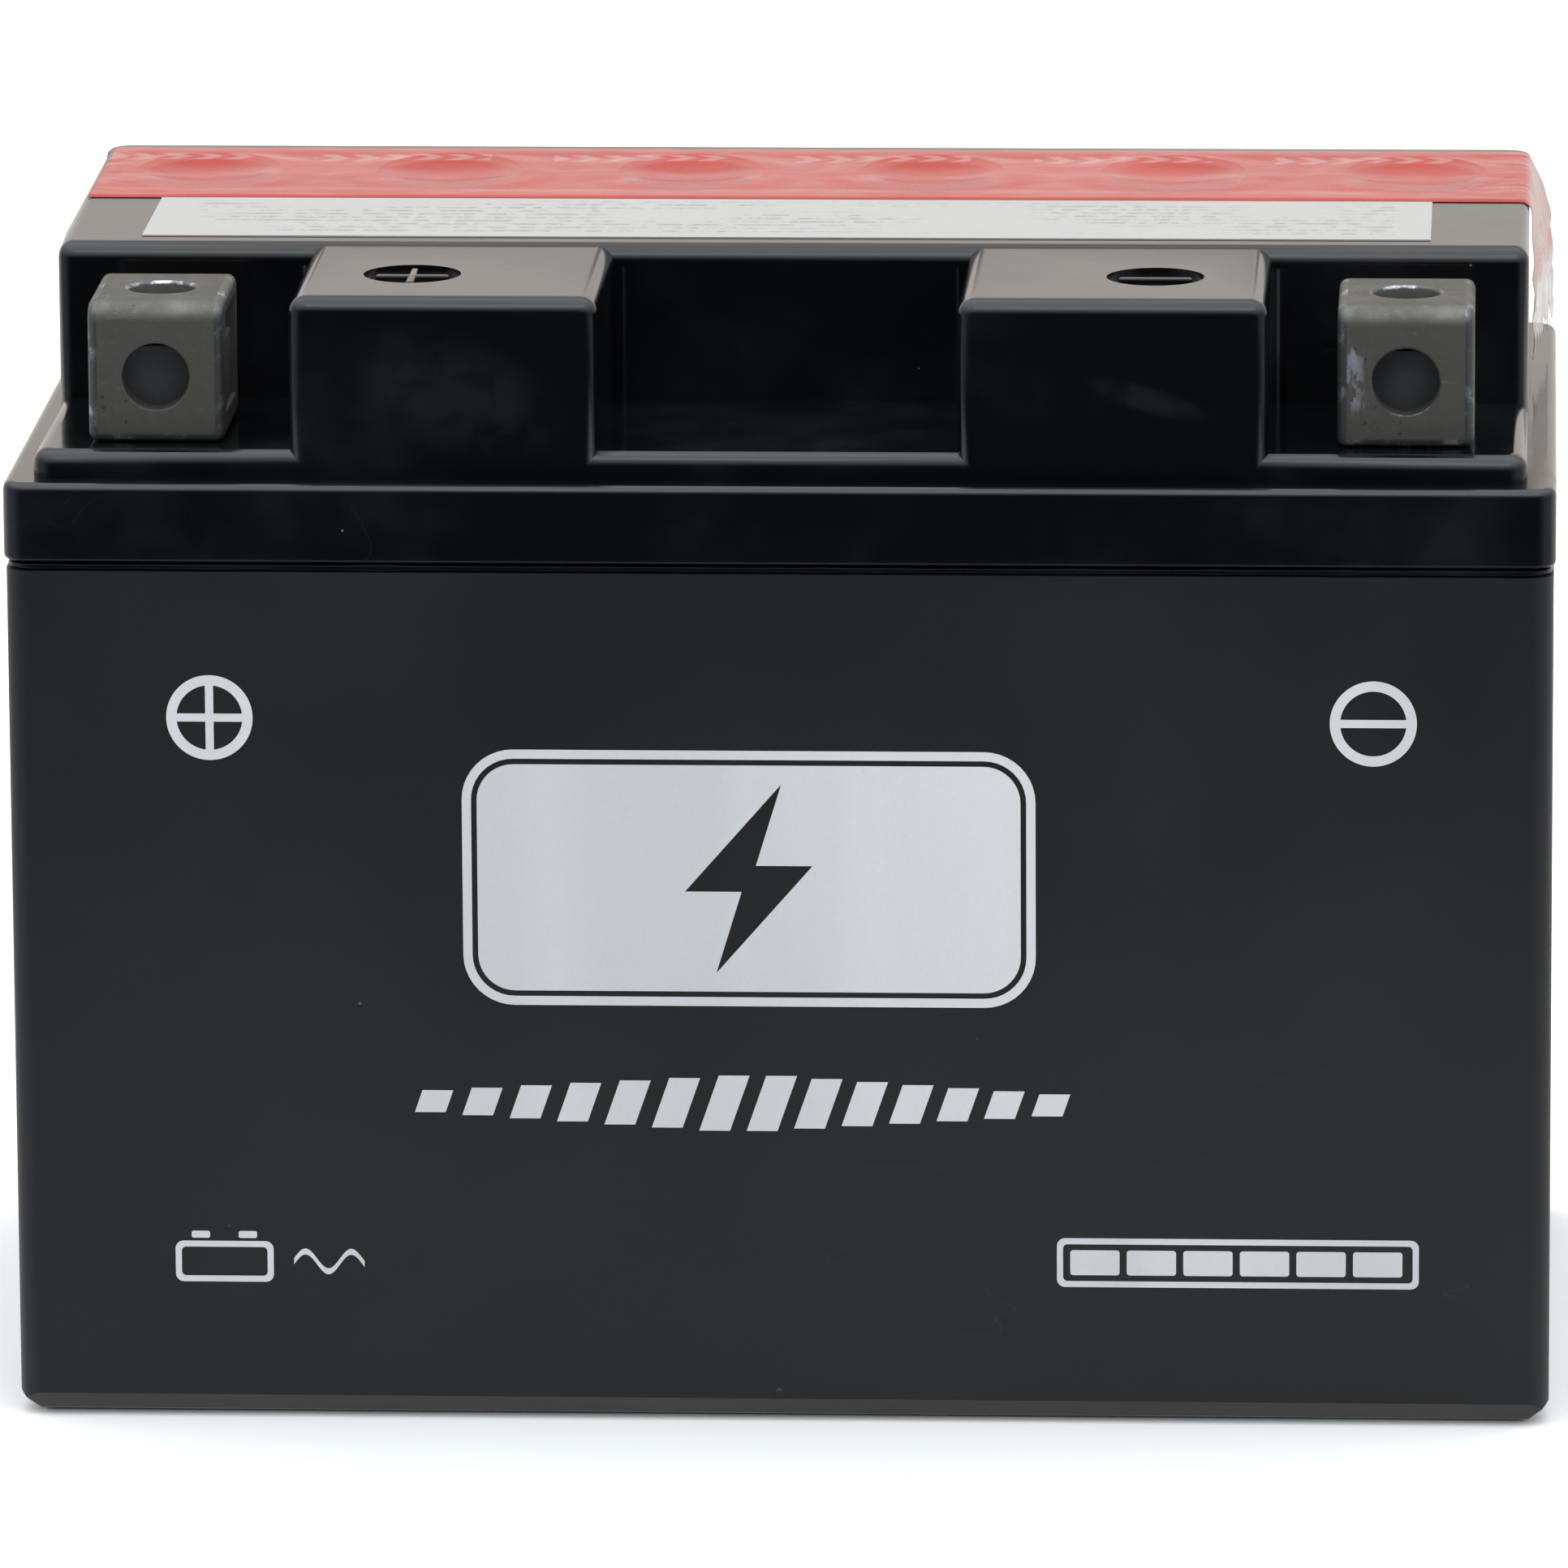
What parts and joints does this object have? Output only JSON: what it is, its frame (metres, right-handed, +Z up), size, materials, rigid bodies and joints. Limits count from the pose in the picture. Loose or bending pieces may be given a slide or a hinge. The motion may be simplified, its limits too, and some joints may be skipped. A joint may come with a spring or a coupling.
{
  "type": "motorcycle battery",
  "caption": "Block-shaped sealed lead-acid motorcycle battery with recessed front terminals, captive nuts, stepped cover, filler ports under a tear-off foil and full cell groups inside.",
  "frame": {"origin": "centre of the underside", "axes": "+X along the length towards the negative terminal, +Y from the terminal side to the filler side, +Z up"},
  "size_m": [0.15, 0.087, 0.1115],
  "materials": {
    "container_plastic": "fine matte polypropylene",
    "cover_plastic": "glossy polypropylene",
    "positive_paste": "brown cured lead dioxide paste",
    "negative_paste": "grey sponge lead paste",
    "glass_mat": "white absorbent glass mat",
    "cast_lead": "dull cast lead alloy",
    "terminal_lead": "dull grey lead alloy with bright worn edges",
    "zinc_steel": "zinc plated",
    "seal_rubber": "black rubber",
    "spacer_rubber": "dark cellular rubber",
    "porous_ceramic": "porous off-white",
    "retainer_plastic": "black moulded",
    "label_paper": "semi-gloss white paper",
    "red_foil": "thin translucent red film"
  },
  "bodies": {
    "battery": {"container": "container_plastic", "cover": "cover_plastic", "positive_plates_1": "positive_paste", "positive_plates_2": "positive_paste", "positive_plates_3": "positive_paste", "positive_plates_4": "positive_paste", "positive_plates_5": "positive_paste", "positive_plates_6": "positive_paste", "negative_plates_1": "negative_paste", "negative_plates_2": "negative_paste", "negative_plates_3": "negative_paste", "negative_plates_4": "negative_paste", "negative_plates_5": "negative_paste", "negative_plates_6": "negative_paste", "separators_1": "glass_mat", "separators_2": "glass_mat", "separators_3": "glass_mat", "separators_4": "glass_mat", "separators_5": "glass_mat", "separators_6": "glass_mat", "positive_strap_1": "cast_lead", "positive_strap_2": "cast_lead", "positive_strap_3": "cast_lead", "positive_strap_4": "cast_lead", "positive_strap_5": "cast_lead", "positive_strap_6": "cast_lead", "negative_strap_1": "cast_lead", "negative_strap_2": "cast_lead", "negative_strap_3": "cast_lead", "negative_strap_4": "cast_lead", "negative_strap_5": "cast_lead", "negative_strap_6": "cast_lead", "cell_link_1": "cast_lead", "cell_link_2": "cast_lead", "cell_link_3": "cast_lead", "cell_link_4": "cast_lead", "cell_link_5": "cast_lead", "filler_tube_1": "cover_plastic", "filler_tube_2": "cover_plastic", "filler_tube_3": "cover_plastic", "filler_tube_4": "cover_plastic", "filler_tube_5": "cover_plastic", "filler_tube_6": "cover_plastic", "piercing_spikes": "cover_plastic", "positive_post": "cast_lead", "negative_post": "cast_lead", "positive_post_seal": "seal_rubber", "negative_post_seal": "seal_rubber", "positive_terminal": "terminal_lead", "negative_terminal": "terminal_lead", "safety_valve": "seal_rubber", "flame_arrestor": "porous_ceramic", "valve_retainer": "retainer_plastic", "top_label": "label_paper"},
    "positive_nut": {"positive_nut": "zinc_steel"},
    "negative_nut": {"negative_nut": "zinc_steel"},
    "positive_nut_spacer": {"positive_nut_spacer": "spacer_rubber"},
    "negative_nut_spacer": {"negative_nut_spacer": "spacer_rubber"},
    "tear_off_seal": {"tear_off_seal": "red_foil"}
  },
  "joints": [
    {"name": "tear_off_seal_lift", "type": "slide", "parent": "battery", "child": "tear_off_seal", "axis": [0, 0, 1], "range_m": [0, 0.15]},
    {"name": "positive_nut_slide", "type": "slide", "parent": "battery", "child": "positive_nut", "axis": [-1, 0, 0], "range_m": [0, 0.016]},
    {"name": "negative_nut_slide", "type": "slide", "parent": "battery", "child": "negative_nut", "axis": [1, 0, 0], "range_m": [0, 0.016]},
    {"name": "positive_spacer_slide", "type": "slide", "parent": "battery", "child": "positive_nut_spacer", "axis": [-1, 0, 0], "range_m": [0, 0.016]},
    {"name": "negative_spacer_slide", "type": "slide", "parent": "battery", "child": "negative_nut_spacer", "axis": [1, 0, 0], "range_m": [0, 0.016]}
  ]
}
